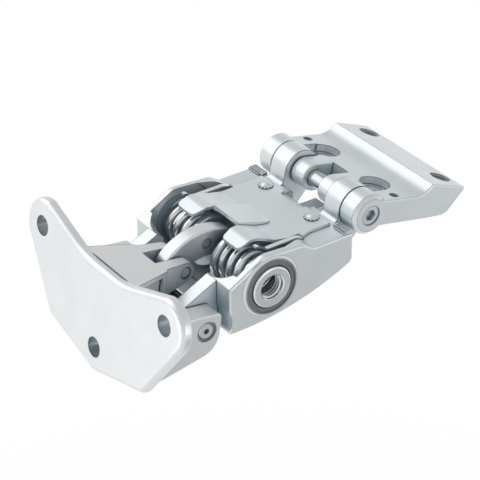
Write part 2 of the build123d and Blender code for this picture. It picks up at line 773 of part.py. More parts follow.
def retainer_strip(side):
    """Bent spring strip beside the cover: it dips, runs level and ends in the pocket's corner."""
    end = pocket_end - strip_end_step
    fall = strip_start_z - strip_run_z
    upper = FilletPolyline((strip_start, strip_start_z), (strip_start + fall / 2, strip_start_z),
                           (strip_dip, strip_run_z), (end - strip_roll, strip_run_z), (end, strip_end_z),
                           radius=(strip_roll / 2, strip_roll, strip_roll))
    lower = Pos(0, -strip_sheet) * upper
    sheet = face_of(upper, lower, Line(upper @ 0, lower @ 0), Line(upper @ 1, lower @ 1))
    return housing_frame * handed(side_slab(sheet, strip_outer - strip_width, strip_outer), side)


def corner_stop(side):
    """Ribbed rest at a rear corner of the deck, with a low lip ahead of it."""
    outer = housing_half - stop_side_gap
    length = outer - stop_inner
    rear = housing_rear - stop_rear_gap
    front = rear - stop_depth
    floor = deck_z + stop_gap
    block = top_slab(Pos(outer - length / 2, (front + rear) / 2) * Rectangle(length, stop_depth),
                     floor, deck_z + stop_height)
    lip = Pos(outer - (length - stop_lip_step) / 2, front) * Rectangle(length - stop_lip_step, 2 * stop_lip)
    block += top_slab(lip, floor, deck_z + stop_lip_height)
    pitch = length / stop_ribs
    for i in range(1, stop_ribs):
        groove = Pos(stop_inner + pitch * i, (front + rear) / 2, deck_z + stop_height)
        block -= groove * Box(stop_groove, stop_depth, stop_groove)
    return housing_frame * handed(block, side)


# Rear wing

def wing_profile():
    """Side view of the wing's slab and flange, (y, z) from the rear pivot."""
    top = arm_knuckle_radius
    hollow = TangentArc((wing_bend_y, top), (wing_ridge_y, wing_ridge_z), tangent=(1, 0))
    rest = Polyline((wing_ridge_y, wing_ridge_z), (wing_edge_y, wing_edge_z), (wing_back_y, wing_back_z),
                    (wing_toe_y, wing_toe_z), (wing_low_y, wing_low_z), (wing_slab_start, -wing_low_front),
                    (wing_slab_start, top), (wing_bend_y, top))
    return face_of(hollow, rest)


def wing_barrel():
    """Outer barrel on the +X side, chamfered at its end."""
    barrel = x_rod(barrel_radius, wing_pocket_outer, wing_half)
    return chamfer(edges_near(barrel, x=wing_half), barrel_chamfer)


def wing_knuckle():
    """Middle knuckle on the +X side with rounded rims."""
    run = wing_centre_cut + root_sink
    fall = (wing_low_z + wing_low_front) / (wing_low_y - wing_slab_start)
    low = -wing_low_front + fall * (run - wing_slab_start)
    eye = x_rod(arm_knuckle_radius, arm_knuckle_inner, wing_pocket_inner)
    eye = fillet(eye.edges().filter_by(GeomType.CIRCLE), arm_knuckle_round)
    neck = polygon((0, arm_knuckle_radius), (run, arm_knuckle_radius), (run, low),
                   (0, -arm_knuckle_radius))
    neck = side_slab(neck, arm_knuckle_inner, wing_pocket_inner)
    return eye + fillet(neck.edges().filter_by(Axis.Y), arm_knuckle_round)


def wing_bracket():
    """Wing casting: flange, slab, two outer barrels and two middle knuckles."""
    low, high = -2 * barrel_radius, 2 * barrel_radius
    top = arm_knuckle_radius
    slab = side_slab(wing_profile(), -wing_half, wing_half)
    slab = fillet(edges_near(slab, x=wing_half), wing_edge_round)
    body = slab + both_sides(wing_barrel())
    centre = Rectangle(2 * wing_pocket_inner, 2 * wing_centre_cut)
    body -= top_slab(centre, low, high)
    width = wing_pocket_outer - wing_pocket_inner
    pocket = Pos(wing_pocket_inner + width / 2, 0) * Rectangle(width, 2 * wing_pocket_end)
    body -= both_sides(top_slab(pocket, low, high))
    body += both_sides(wing_knuckle())
    seat = Pos(hole_pocket_x, hole_pocket_y)
    body -= both_sides(top_slab(seat * Circle(hole_pocket_radius), top - hole_pocket_depth, high))
    body -= both_sides(Pos(hole_pocket_x, hole_pocket_y, top) * Cone(
        hole_pocket_radius - hole_rim_chamfer, hole_pocket_radius + hole_rim_chamfer, 2 * hole_rim_chamfer))
    body -= both_sides(top_slab(seat * Circle(hole_pocket_bore), low, high))
    body -= both_sides(top_slab(Pos(set_hole_x, set_hole_y) * Circle(set_hole_radius),
                                top - set_hole_depth, high))
    body -= x_rod(rear_axle_radius + pin_gap, -wing_half, wing_half)
    body -= both_sides(x_rod(end_plug_radius + pin_gap, wing_half - end_plug_depth - end_plug_sunk, wing_half))
    upward = (Align.CENTER, Align.CENTER, Align.MIN)
    for side in (-1, 1):
        drill = flange_frame(side)
        body -= drill * Cylinder(flange_hole_diameter / 2, 2 * wing_edge_y)
        body -= drill * Pos(Z=-flange_sink_depth) * Cylinder(flange_sink_diameter / 2, high, align=upward)
    return wing_frame * body


def flange_frame(side):
    """Top of a flange hole, with Z square to the flange."""
    slope = degrees(atan2(wing_edge_z - wing_ridge_z, wing_edge_y - wing_ridge_y))
    share = (flange_hole_y - wing_ridge_y) / (wing_edge_y - wing_ridge_y)
    height = wing_ridge_z + share * (wing_edge_z - wing_ridge_z)
    return Pos(side * flange_hole_spacing / 2, flange_hole_y, height) * Rot(X=slope)


def hinge_axle():
    """Rear axle through wing and knuckles."""
    half = wing_half - end_plug_depth - end_plug_sunk
    axle = chamfer(x_rod(rear_axle_radius, -half, half).edges(), axle_end_chamfer)
    return wing_frame * axle


def axle_plug(side):
    """Socket plug that closes the axle's bore."""
    outer = wing_half - end_plug_sunk
    inner = outer - end_plug_depth
    plug = side_slab(Circle(end_plug_radius), inner, outer)
    socket = side_slab(RegularPolygon(end_plug_socket, 6), outer - end_plug_socket_depth, outer)
    return wing_frame * handed(plug - socket, side)


def axle_screw(side):
    """Set screw sunk in the wing's small hole."""
    top = arm_knuckle_radius - set_screw_sunk
    screw = top_slab(Circle(set_hole_radius - pin_gap), top - set_screw_length, top)
    socket = top_slab(RegularPolygon(set_screw_socket, 6), top - set_screw_length / 2, top)
    return wing_frame * Pos(side * set_hole_x, set_hole_y) * (screw - socket)


os.makedirs("parts", exist_ok=True)
singles = [mount_bracket, check_arm, check_arm_pin, check_arm_bush, pivot_axle, pivot_spacer,
           housing, spring_cover, wing_bracket, hinge_axle]
pairs = [pivot_bush, knuckle_bush, cover_rivet, plunger, detent_spring, spring_plug, plug_ring,
         retainer_strip, corner_stop, axle_plug, axle_screw]
for make in singles:
    export_step(one(make()), f"parts/{make.__name__}.step")
for make in pairs:
    for name, side in (("left", -1), ("right", 1)):
        export_step(one(make(side)), f"parts/{make.__name__}_{name}.step")
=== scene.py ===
"""Looks of a cast vehicle door hinge with a built-in door check.

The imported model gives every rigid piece. This script dresses those pieces, adds the
threads that the solids leave plain, and lights the hinge as on a white studio sweep.
Lengths are in metres.
"""
from __future__ import annotations

import logging
import math
from dataclasses import dataclass
from enum import Enum

import bmesh
import bpy
from mathutils import Euler, Matrix, Vector


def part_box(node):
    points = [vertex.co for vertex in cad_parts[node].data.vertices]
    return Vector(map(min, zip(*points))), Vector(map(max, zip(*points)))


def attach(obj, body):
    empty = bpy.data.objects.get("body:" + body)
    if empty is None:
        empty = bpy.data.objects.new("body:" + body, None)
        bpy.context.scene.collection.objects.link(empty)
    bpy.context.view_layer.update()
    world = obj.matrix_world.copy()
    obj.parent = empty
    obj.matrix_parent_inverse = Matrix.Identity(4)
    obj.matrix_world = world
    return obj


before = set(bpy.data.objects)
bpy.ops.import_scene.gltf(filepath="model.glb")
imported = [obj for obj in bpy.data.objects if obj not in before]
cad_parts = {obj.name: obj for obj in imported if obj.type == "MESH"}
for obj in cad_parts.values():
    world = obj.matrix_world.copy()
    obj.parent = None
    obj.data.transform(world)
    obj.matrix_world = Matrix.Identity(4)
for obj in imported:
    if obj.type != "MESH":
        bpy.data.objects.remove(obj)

log = logging.getLogger("door_hinge")
Colour = tuple[float, float, float]
Place = tuple[float, float, float]
Span = tuple[float, float]


class Side(Enum):
    """The two sides of the hinge, with the sign of their X."""

    LEFT = -1
    RIGHT = 1

    @property
    def tag(self) -> str:
        """Lower-case name, as the nodes carry it."""
        return self.name.lower()


@dataclass(frozen=True)
class LampSetting:
    """Place, side length, power in watts and tint of a square lamp."""

    place: Place
    size: float
    power: float
    tint: Colour = (1.0, 1.0, 1.0)


class Lamp(Enum):
    """Lamps of the studio."""

    KEY = LampSetting((-0.66, -0.28, 0.62), 0.95, 3.1)
    FRONT = LampSetting((-0.12, -0.52, -0.12), 0.30, 0.9)
    SIDE = LampSetting((0.90, 0.30, 0.05), 0.50, 0.9, tint=(0.94, 0.98, 1.0))


class NodeBuilder:
    """Small helper that places and links shader nodes of one material."""

    # most of a noise's values lie in this span
    noise_span: Span = (0.3, 0.7)
    noise_roughness: float = 0.55
    openness_samples: int = 8
    edge_samples: int = 6
    # cosine between the rounded and the true normal, away from an edge and on it
    edge_turn: Span = (0.995, 0.88)
    # half the width of a mask's soft border
    mask_border: float = 0.0001

    def __init__(self, name: str) -> None:
        """Start a node material with a Principled shader.

        Args:
            name: Name of the material.
        """
        self.material = bpy.data.materials.new(name)
        self.material.use_nodes = True
        self.tree = self.material.node_tree
        self.shader = self.tree.nodes["Principled BSDF"]
        self.place = self.tree.nodes.new("ShaderNodeTexCoord").outputs["Object"]

    def node(self, kind: str, **values: object) -> bpy.types.Node:
        """Add a node and set its inputs by name.

        Args:
            kind: Type name of the node.
            **values: Input values, with spaces of their names as underscores.

        Returns:
            The new node.
        """
        made = self.tree.nodes.new(kind)
        for key, value in values.items():
            made.inputs[key.replace("_", " ")].default_value = value
        return made

    def link(self, source: bpy.types.NodeSocket, target: bpy.types.NodeSocket) -> None:
        """Join an output to an input."""
        self.tree.links.new(source, target)

    def grain(self, scale: float, detail: float,
              stretch: Place | None = None) -> bpy.types.NodeSocket:
        """Noise on object coordinates.

        Args:
            scale: Cycles of noise per metre.
            detail: Number of octaves.
            stretch: Factor on each axis, for drawn or ground marks.

        Returns:
            The noise's factor output.
        """
        noise = self.node("ShaderNodeTexNoise", Scale=scale, Detail=detail,
                          Roughness=self.noise_roughness)
        if stretch is None:
            self.link(self.place, noise.inputs["Vector"])
        else:
            mapping = self.node("ShaderNodeMapping", Scale=stretch)
            self.link(self.place, mapping.inputs["Vector"])
            self.link(mapping.outputs["Vector"], noise.inputs["Vector"])
        return noise.outputs["Fac"]

    def spread(self, source: bpy.types.NodeSocket, low: float, high: float) -> bpy.types.NodeSocket:
        """Map the middle of a noise to a range of values.

        Args:
            source: A noise's factor.
            low: Value at the dark end.
            high: Value at the bright end.

        Returns:
            The mapped value.
        """
        start, end = self.noise_span
        span = self.node("ShaderNodeMapRange", From_Min=start, From_Max=end, To_Min=low, To_Max=high)
        self.link(source, span.inputs["Value"])
        return span.outputs["Result"]

    def blend(self, factor: bpy.types.NodeSocket, first: Colour | bpy.types.NodeSocket,
              second: Colour | bpy.types.NodeSocket) -> bpy.types.NodeSocket:
        """Mix two colours by a factor.

        Args:
            factor: 0 gives the first, 1 gives the second.
            first: A colour, or an output that gives one.
            second: A colour, or an output that gives one.

        Returns:
            The mixed colour.
        """
        mix = self.tree.nodes.new("ShaderNodeMix")
        mix.data_type = "RGBA"
        self.link(factor, mix.inputs["Factor"])
        # the mix node has sockets A and B of each kind, and its colour pair is at 6 and 7
        for index, colour in ((6, first), (7, second)):
            if isinstance(colour, tuple):
                mix.inputs[index].default_value = (*colour, 1.0)
            else:
                self.link(colour, mix.inputs[index])
        # likewise, its colour result is at 2
        return mix.outputs[2]

    def steps(self, source: bpy.types.NodeSocket, start: float, end: float,
              low: float = 0.0, high: float = 1.0) -> bpy.types.NodeSocket:
        """Map a range of a value smoothly to another range.

        Args:
            source: The value.
            start: Where the change begins.
            end: Where it ends.
            low: Result at the start.
            high: Result at the end.

        Returns:
            The mapped value.
        """
        span = self.node("ShaderNodeMapRange", From_Min=start, From_Max=end, To_Min=low, To_Max=high)
        span.interpolation_type = "SMOOTHSTEP"
        self.link(source, span.inputs["Value"])
        return span.outputs["Result"]

    def openness(self, reach: float) -> bpy.types.NodeSocket:
        """How open a spot is: 1 on a free face, near 0 deep in a pocket.

        Args:
            reach: Distance at which neighbours count.

        Returns:
            The open share.
        """
        near = self.node("ShaderNodeAmbientOcclusion", Distance=reach)
        near.samples = self.openness_samples
        return near.outputs["AO"]

    def edges(self, radius: float) -> bpy.types.NodeSocket:
        """How near a sharp edge a spot is.

        Args:
            radius: Width of the band along the edge.

        Returns:
            A factor of 1 on an edge and 0 away from one.
        """
        bevel = self.node("ShaderNodeBevel", Radius=radius)
        bevel.samples = self.edge_samples
        plain = self.tree.nodes.new("ShaderNodeNewGeometry")
        turn = self.vector("DOT_PRODUCT", bevel.outputs["Normal"])
        self.link(plain.outputs["Normal"], turn.inputs[1])
        return self.steps(turn.outputs["Value"], *self.edge_turn)

    def math(self, operation: str, *values: float | bpy.types.NodeSocket) -> bpy.types.NodeSocket:
        """Plain maths on numbers or outputs.

        Args:
            operation: Name of the operation.
            *values: One to three numbers or outputs.

        Returns:
            The result.
        """
        made = self.tree.nodes.new("ShaderNodeMath")
        made.operation = operation
        for index, value in enumerate(values):
            if isinstance(value, (int, float)):
                made.inputs[index].default_value = value
            else:
                self.link(value, made.inputs[index])
        return made.outputs["Value"]

    def vector(self, operation: str, source: bpy.types.NodeSocket,
               other: Vector | None = None) -> bpy.types.Node:
        """Vector maths with a fixed second vector.

        Args:
            operation: Name of the operation.
            source: The first vector.
            other: The second vector, where the operation has one.

        Returns:
            The node, whose outputs are Vector and Value.
        """
        made = self.tree.nodes.new("ShaderNodeVectorMath")
        made.operation = operation
        self.link(source, made.inputs[0])
        if other is not None:
            made.inputs[1].default_value = other
        return made

    def axes(self, source: bpy.types.NodeSocket) -> bpy.types.bpy_prop_collection:
        """Split a vector into its X, Y and Z outputs."""
        split = self.tree.nodes.new("ShaderNodeSeparateXYZ")
        self.link(source, split.inputs["Vector"])
        return split.outputs

    def within(self, size: bpy.types.NodeSocket, limit: float) -> bpy.types.NodeSocket:
        """Mask of 1 where a distance is less than a limit, with a narrow soft border."""
        return self.steps(size, limit + self.mask_border, limit - self.mask_border)

    def bore(self, centre: Vector, along: Vector, radius: float) -> bpy.types.NodeSocket:
        """Mask of a bore and its mirror image on the other side of the hinge.

        Args:
            centre: A point on the bore's axis, on the +X side.
            along: Direction of the axis.
            radius: Radius that the mask reaches.

        Returns:
            A factor of 1 inside that radius.
        """
        whole = self.axes(self.place)
        folded = self.axes(self.vector("ABSOLUTE", self.place).outputs["Vector"])
        point = self.tree.nodes.new("ShaderNodeCombineXYZ")
        self.link(folded["X"], point.inputs["X"])
        self.link(whole["Y"], point.inputs["Y"])
        self.link(whole["Z"], point.inputs["Z"])
        away = self.vector("SUBTRACT", point.outputs["Vector"], centre)
        square = self.vector("CROSS_PRODUCT", away.outputs["Vector"], along)
        size = self.vector("LENGTH", square.outputs["Vector"])
        return self.within(size.outputs["Value"], radius)

    def from_axis(self, centre: Vector) -> bpy.types.NodeSocket:
        """Distance from an axis that runs along X.

        Args:
            centre: A point on the axis.

        Returns:
            The distance.
        """
        away = self.vector("SUBTRACT", self.place, centre)
        flat = self.vector("MULTIPLY", away.outputs["Vector"], Vector((0.0, 1.0, 1.0)))
        return self.vector("LENGTH", flat.outputs["Vector"]).outputs["Value"]

    def outboard(self, beyond: float) -> bpy.types.NodeSocket:
        """Mask of what lies farther from the middle plane than a distance.

        Args:
            beyond: The distance.

        Returns:
            A factor of 1 outside it.
        """
        side = self.math("ABSOLUTE", self.axes(self.place)["X"])
        return self.steps(side, beyond - self.mask_border, beyond + self.mask_border)


@dataclass(frozen=True)
class MetalFinish:
    """A plated, ground or turned metal surface, with painted shade in its recesses and seams and
    painted lines along its sharp edges.
    """

    name: str
    dark: Colour
    pale: Colour
    metallic: float
    roughness: Span
    grain_scale: float = 1500.0
    grain_height: float = 0.00001
    cloud_scale: float = 60.0
    noise_detail: float = 4.0
    bump_strength: float = 0.5
    edge_radius: float = 0.0008
    # painted shade along sharp edges and creases; where it is paler than the piece, a painted
    # highlight
    edge_shade_and_glint: Colour = (0.10, 0.13, 0.15)
    # painted shade in recesses, stronger where a spot is more enclosed; enclosed spots also turn less
    # metallic
    recess_shade: Colour = (0.22, 0.33, 0.39)
    recess_reach: float = 0.011
    recess_span: Span = (0.10, 0.75)
    recess_metallic: float = 0.15
    # painted shade in narrow creases and in gaps between parts
    seam: Colour = (0.07, 0.10, 0.12)
    seam_reach: float = 0.0012
    seam_span: Span = (0.35, 0.80)
    marks: Place | None = None

    def material(self) -> bpy.types.Material:
        """Build the node material of this finish.

        Returns:
            The material.
        """
        make = NodeBuilder(self.name)
        shader = make.shader
        cloud = make.spread(make.grain(self.cloud_scale, self.noise_detail), 0.0, 1.0)
        clean = self.clean(make, make.blend(cloud, self.dark, self.pale))
        # painted lines along sharp edges: shade on most pieces, a highlight on the dark sleeve and the
        # bushes
        edge_painted = make.blend(make.edges(self.edge_radius), clean, self.edge_shade_and_glint)
        # painted shade: enclosed spots turn to the dark teal of recesses and lose metallic shine
        open_share = make.steps(make.openness(self.recess_reach), *self.recess_span)
        recess_shaded = make.blend(open_share, self.recess_shade, edge_painted)
        metal = make.math("MULTIPLY_ADD", open_share,
                          self.metallic - self.recess_metallic, self.recess_metallic)
        make.link(metal, shader.inputs["Metallic"])
        # painted shade lines in narrow creases and gaps
        clear = make.steps(make.openness(self.seam_reach), *self.seam_span)
        make.link(make.blend(clear, self.seam, recess_shaded), shader.inputs["Base Color"])
        fine = make.grain(self.grain_scale, self.noise_detail, self.marks)
        make.link(make.spread(fine, *self.roughness), shader.inputs["Roughness"])
        bump = make.node("ShaderNodeBump", Strength=self.bump_strength, Distance=self.grain_height)
        make.link(fine, bump.inputs["Height"])
        make.link(bump.outputs["Normal"], shader.inputs["Normal"])
        return make.material

    def clean(self, make: NodeBuilder, colour: bpy.types.NodeSocket) -> bpy.types.NodeSocket:
        """Colour of the open faces; a finish with machined spots adds painted shading to them."""
        return colour


@dataclass(frozen=True)
class BoredCasting(MetalFinish):
    """A casting with a round turned face on both sides, painted with rings of highlight and shade."""

    spot_centre: Place = (0.0, 0.058306, -0.009851)
    spot_radius: float = 0.0137
    spot_beyond: float = 0.03405
    ring_pitch: float = 0.0021
    # painted shade and painted highlight of the rings on the turned face
    ring_shade: Colour = (0.22, 0.25, 0.27)
    ring_highlight: Colour = (0.80, 0.82, 0.84)

    def clean(self, make: NodeBuilder, colour: bpy.types.NodeSocket) -> bpy.types.NodeSocket:
        """Colour of the open faces, with painted rings of highlight and shade on the turned face.

        Args:
            make: Builder of the material.
            colour: Colour of the casting's skin.

        Returns:
            The colour with the turned face in it.
        """
        size = make.from_axis(Vector(self.spot_centre))
        # painted concentric bands of highlight and shade on the turned face
        wave = make.math("SINE", make.math("MULTIPLY", size, math.tau / self.ring_pitch))
        rings = make.blend(make.steps(wave, -1.0, 1.0), self.ring_shade, self.ring_highlight)
        near = make.within(size, self.spot_radius)
        return make.blend(make.math("MULTIPLY", near, make.outboard(self.spot_beyond)), colour, rings)


@dataclass(frozen=True)
class DrilledCasting(MetalFinish):
    """A casting with reamed bores that carry painted shade, darker than its skin."""

    drill_along: Place = (0.0, 0.98953, -0.14436)
    drill_centres: tuple[Place, ...] = ((0.045, 0.0, 0.0), (0.0, -0.004865, -0.033347))
    drill_radius: float = 0.00435
    # painted shade inside the bores
    bore_shade: Colour = (0.36, 0.40, 0.42)

    def clean(self, make: NodeBuilder, colour: bpy.types.NodeSocket) -> bpy.types.NodeSocket:
        """Colour of the open faces, with painted shade in the bores.

        Args:
            make: Builder of the material.
            colour: Colour of the casting's skin.

        Returns:
            The colour with the bores in it.
        """
        for centre in self.drill_centres:
            bore = make.bore(Vector(centre), Vector(self.drill_along), self.drill_radius)
            colour = make.blend(bore, colour, self.bore_shade)
        return colour


@dataclass(frozen=True)
class MouldedFinish:
    """A matt moulded ring whose inboard part is painted the colour of the casting's inside, as painted
    shade.
    """

    name: str
    dark: Colour
    pale: Colour
    roughness: Span
    shown_from: float = 0.033
    # painted shade on the part that sits inside the housing
    buried_shade: Colour = (0.30, 0.40, 0.45)
    speck_scale: float = 900.0
    speck_detail: float = 5.0
    bump_strength: float = 0.4
    bump_height: float = 0.00002

    def material(self) -> bpy.types.Material:
        """Build the node material of this finish.

        Returns:
            The material.
        """
        make = NodeBuilder(self.name)
        shader = make.shader
        speck = make.grain(self.speck_scale, self.speck_detail)
        skin = make.blend(make.spread(speck, 0.0, 1.0), self.dark, self.pale)
        # painted shade inboard of shown_from
        tone = make.blend(make.outboard(self.shown_from), self.buried_shade, skin)
        make.link(tone, shader.inputs["Base Color"])
        make.link(make.spread(speck, *self.roughness), shader.inputs["Roughness"])
        bump = make.node("ShaderNodeBump", Strength=self.bump_strength, Distance=self.bump_height)
        make.link(speck, bump.inputs["Height"])
        make.link(bump.outputs["Normal"], shader.inputs["Normal"])
        return make.material


CAST_ZINC = MetalFinish(
    "cast_zinc", dark=(0.745, 0.785, 0.80), pale=(0.80, 0.835, 0.85), metallic=0.60,
    roughness=(0.28, 0.38), recess_shade=(0.30, 0.43, 0.48), recess_reach=0.008)
PLATE_ZINC = DrilledCasting(
    "plate_zinc", dark=(0.775, 0.795, 0.80), pale=(0.82, 0.83, 0.84), metallic=0.60,
    roughness=(0.28, 0.38), recess_shade=(0.34, 0.45, 0.50))
BORED_ZINC = BoredCasting(
    "bored_zinc", dark=(0.745, 0.785, 0.80), pale=(0.80, 0.835, 0.85), metallic=0.60,
    roughness=(0.28, 0.38), recess_shade=(0.34, 0.45, 0.50))
SHEET_ZINC = MetalFinish(
    "sheet_zinc", dark=(0.80, 0.84, 0.855), pale=(0.84, 0.87, 0.885), metallic=0.55,
    roughness=(0.30, 0.38), edge_radius=0.0003, recess_span=(0.05, 0.50))
RIVET_ZINC = MetalFinish(
    "rivet_zinc", dark=(0.74, 0.78, 0.80), pale=(0.82, 0.85, 0.87), metallic=0.55,
    roughness=(0.30, 0.40), edge_radius=0.0002, recess_reach=0.0015, recess_span=(0.35, 0.95))
ARM_STEEL = MetalFinish(
    "arm_steel", dark=(0.76, 0.79, 0.81), pale=(0.82, 0.84, 0.85), metallic=0.55,
    roughness=(0.30, 0.38), recess_shade=(0.16, 0.23, 0.27), recess_reach=0.022,
    recess_span=(0.15, 0.75))
TURNED_STEEL = MetalFinish(
    "turned_steel", dark=(0.74, 0.765, 0.78), pale=(0.80, 0.82, 0.83), metallic=0.85,
    roughness=(0.16, 0.28), edge_radius=0.0003, seam=(0.24, 0.29, 0.32), marks=(8.0, 1.0, 1.0))
AXLE_STEEL = MetalFinish(
    "axle_steel", dark=(0.42, 0.45, 0.47), pale=(0.52, 0.55, 0.57), metallic=1.0,
    roughness=(0.14, 0.24), edge_radius=0.0002, marks=(1.0, 8.0, 8.0))
SPRING_STEEL = MetalFinish(
    "spring_steel", dark=(0.78, 0.82, 0.84), pale=(0.88, 0.90, 0.92), metallic=0.85,
    roughness=(0.14, 0.24), edge_radius=0.0002, recess_reach=0.005)
# the dark sleeve's edges get a painted highlight
DARK_SLEEVE = MetalFinish(
    "dark_sleeve", dark=(0.16, 0.19, 0.21), pale=(0.26, 0.29, 0.31), metallic=0.9,
    roughness=(0.28, 0.42), edge_radius=0.0002, edge_shade_and_glint=(0.5, 0.52, 0.54),
    recess_shade=(0.09, 0.11, 0.12))
# the bushes' edges get a painted highlight
BUSH_METAL = MetalFinish(
    "bush_metal", dark=(0.42, 0.40, 0.37), pale=(0.55, 0.52, 0.47), metallic=0.8,
    roughness=(0.35, 0.50), edge_radius=0.0002, edge_shade_and_glint=(0.6, 0.58, 0.54))
RING_GREY = MouldedFinish(
    "ring_grey", dark=(0.19, 0.185, 0.19), pale=(0.25, 0.24, 0.245), roughness=(0.40, 0.55))


def dress(finish: MetalFinish | MouldedFinish, *names: str) -> None:
    """Put one finish on several nodes of the model.

    Args:
        finish: The finish.
        *names: Names of the nodes.
    """
    surface = finish.material()
    for name in names:
        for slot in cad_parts[name].material_slots:
            slot.material = surface
        log.info("dressed %s with %s", name, finish.name)


def both(name: str) -> list[str]:
    """Names of a node's left and right copies."""
    return [f"{name}_{side.tag}" for side in Side]


def add_to_scene(thing: bpy.types.ID, name: str) -> bpy.types.Object:
    """Make an object of a mesh, lamp or camera and link it to the scene.

    Args:
        thing: The mesh, lamp or camera.
        name: Name of the object.

    Returns:
        The new object.
    """
    made = bpy.data.objects.new(name, thing)
    bpy.context.scene.collection.objects.link(made)
    return made


@dataclass
class MountBracket:
    """Plate, fork and lugs with the pins that they carry."""

    casting: MetalFinish = PLATE_ZINC
    pins: MetalFinish = TURNED_STEEL
    sleeve: MetalFinish = DARK_SLEEVE

    def build(self) -> None:
        """Dress the casting, the check arm's pin, the main axle and its sleeve."""
        dress(self.casting, "mount_bracket")
        dress(self.pins, "check_arm_pin", "pivot_axle")
        dress(self.sleeve, "pivot_spacer")


@dataclass
class CheckArm:
    """The curved arm that the plungers squeeze."""

    arm: MetalFinish = ARM_STEEL
    bush: MetalFinish = BUSH_METAL

    def build(self) -> None:
        """Dress the arm and its bush."""
        dress(self.arm, "check_arm")
        dress(self.bush, "check_arm_bush")


@dataclass
class SpringHousing:
    """Main casting with its bushes, plugs, rings, springs and plungers."""

    casting: MetalFinish = BORED_ZINC
    bushes: MetalFinish = BUSH_METAL
    turned: MetalFinish = TURNED_STEEL
    springs: MetalFinish = SPRING_STEEL
    rings: MouldedFinish = RING_GREY
    thread_root: float = 0.0055
    thread_tip: float = 0.0047
    thread_pitch: float = 0.0013
    # half a tooth's width as a share of the pitch, so that a gap stays between turns
    tooth_share: float = 0.42
    thread_turns: int = 3
    thread_steps: int = 40
    thread_inset: float = 0.0007
    weld_distance: float = 1e-6

    def thread(self, side: Side) -> None:
        """Cut-thread ridge that winds through the bore of one spring plug.

        Args:
            side: Side of the hinge.
        """
        name = f"plug_thread_{side.tag}"
        plug_low, plug_high = (Vector(corner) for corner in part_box(f"spring_plug_{side.tag}"))
        middle = (plug_low + plug_high) / 2
        outer = max(abs(plug_low.x), abs(plug_high.x)) - self.thread_inset
        half = self.tooth_share * self.thread_pitch
        tooth = [(outer - 2 * half, self.thread_root), (outer - half, self.thread_tip),
                 (outer, self.thread_root)]
        mesh = bmesh.new()
        corners = [mesh.verts.new((side.value * x, middle.y, middle.z + r)) for x, r in tooth]
        sides = [mesh.edges.new((corners[i], corners[i - 1])) for i in range(3)]
        mesh.faces.new(corners)
        step = -side.value * self.thread_pitch / self.thread_steps
        spun = bmesh.ops.spin(mesh, geom=corners + sides, cent=middle, axis=(1.0, 0.0, 0.0),
                              dvec=(step, 0.0, 0.0), angle=math.tau * self.thread_turns,
                              steps=self.thread_turns * self.thread_steps, use_duplicate=False)
        last = [part for part in spun["geom_last"] if isinstance(part, bmesh.types.BMVert)]
        mesh.faces.new(last)
        bmesh.ops.remove_doubles(mesh, verts=mesh.verts, dist=self.weld_distance)
        bmesh.ops.recalc_face_normals(mesh, faces=mesh.faces)
        data = bpy.data.meshes.new(name)
        mesh.to_mesh(data)
        mesh.free()
        data.materials.append(self.turned.material())
        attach(add_to_scene(data, name), "housing")
        log.info("made %s", name)

    def build(self) -> None:
        """Dress the casting and the pieces inside it, and add the threads."""
        for side in Side:
            self.thread(side)
        dress(self.casting, "housing")
        dress(self.bushes, *both("pivot_bush"), *both("knuckle_bush"))
        dress(self.turned, *both("spring_plug"), *both("plunger"))
        dress(self.springs, *both("detent_spring"))
        dress(self.rings, *both("plug_ring"))


@dataclass
class SpringCover:
    """Folded cover with its rivets, side strips and corner stops."""

    sheet: MetalFinish = SHEET_ZINC
    rivets: MetalFinish = RIVET_ZINC
    strips: MetalFinish = SPRING_STEEL

    def build(self) -> None:
        """Dress the cover and its small pieces."""
        dress(self.sheet, "spring_cover")
        dress(self.rivets, *both("cover_rivet"))
        dress(self.strips, *both("retainer_strip"))
        dress(self.rivets, *both("corner_stop"))


@dataclass
class RearWing:
    """Wing casting with its axle, plugs and set screws."""

    casting: MetalFinish = CAST_ZINC
    axle: MetalFinish = AXLE_STEEL
    turned: MetalFinish = TURNED_STEEL

    def build(self) -> None:
        """Dress the wing and what it carries."""
        dress(self.casting, "wing_bracket")
        dress(self.axle, "hinge_axle")
        dress(self.turned, *both("axle_plug"), *both("axle_screw"))


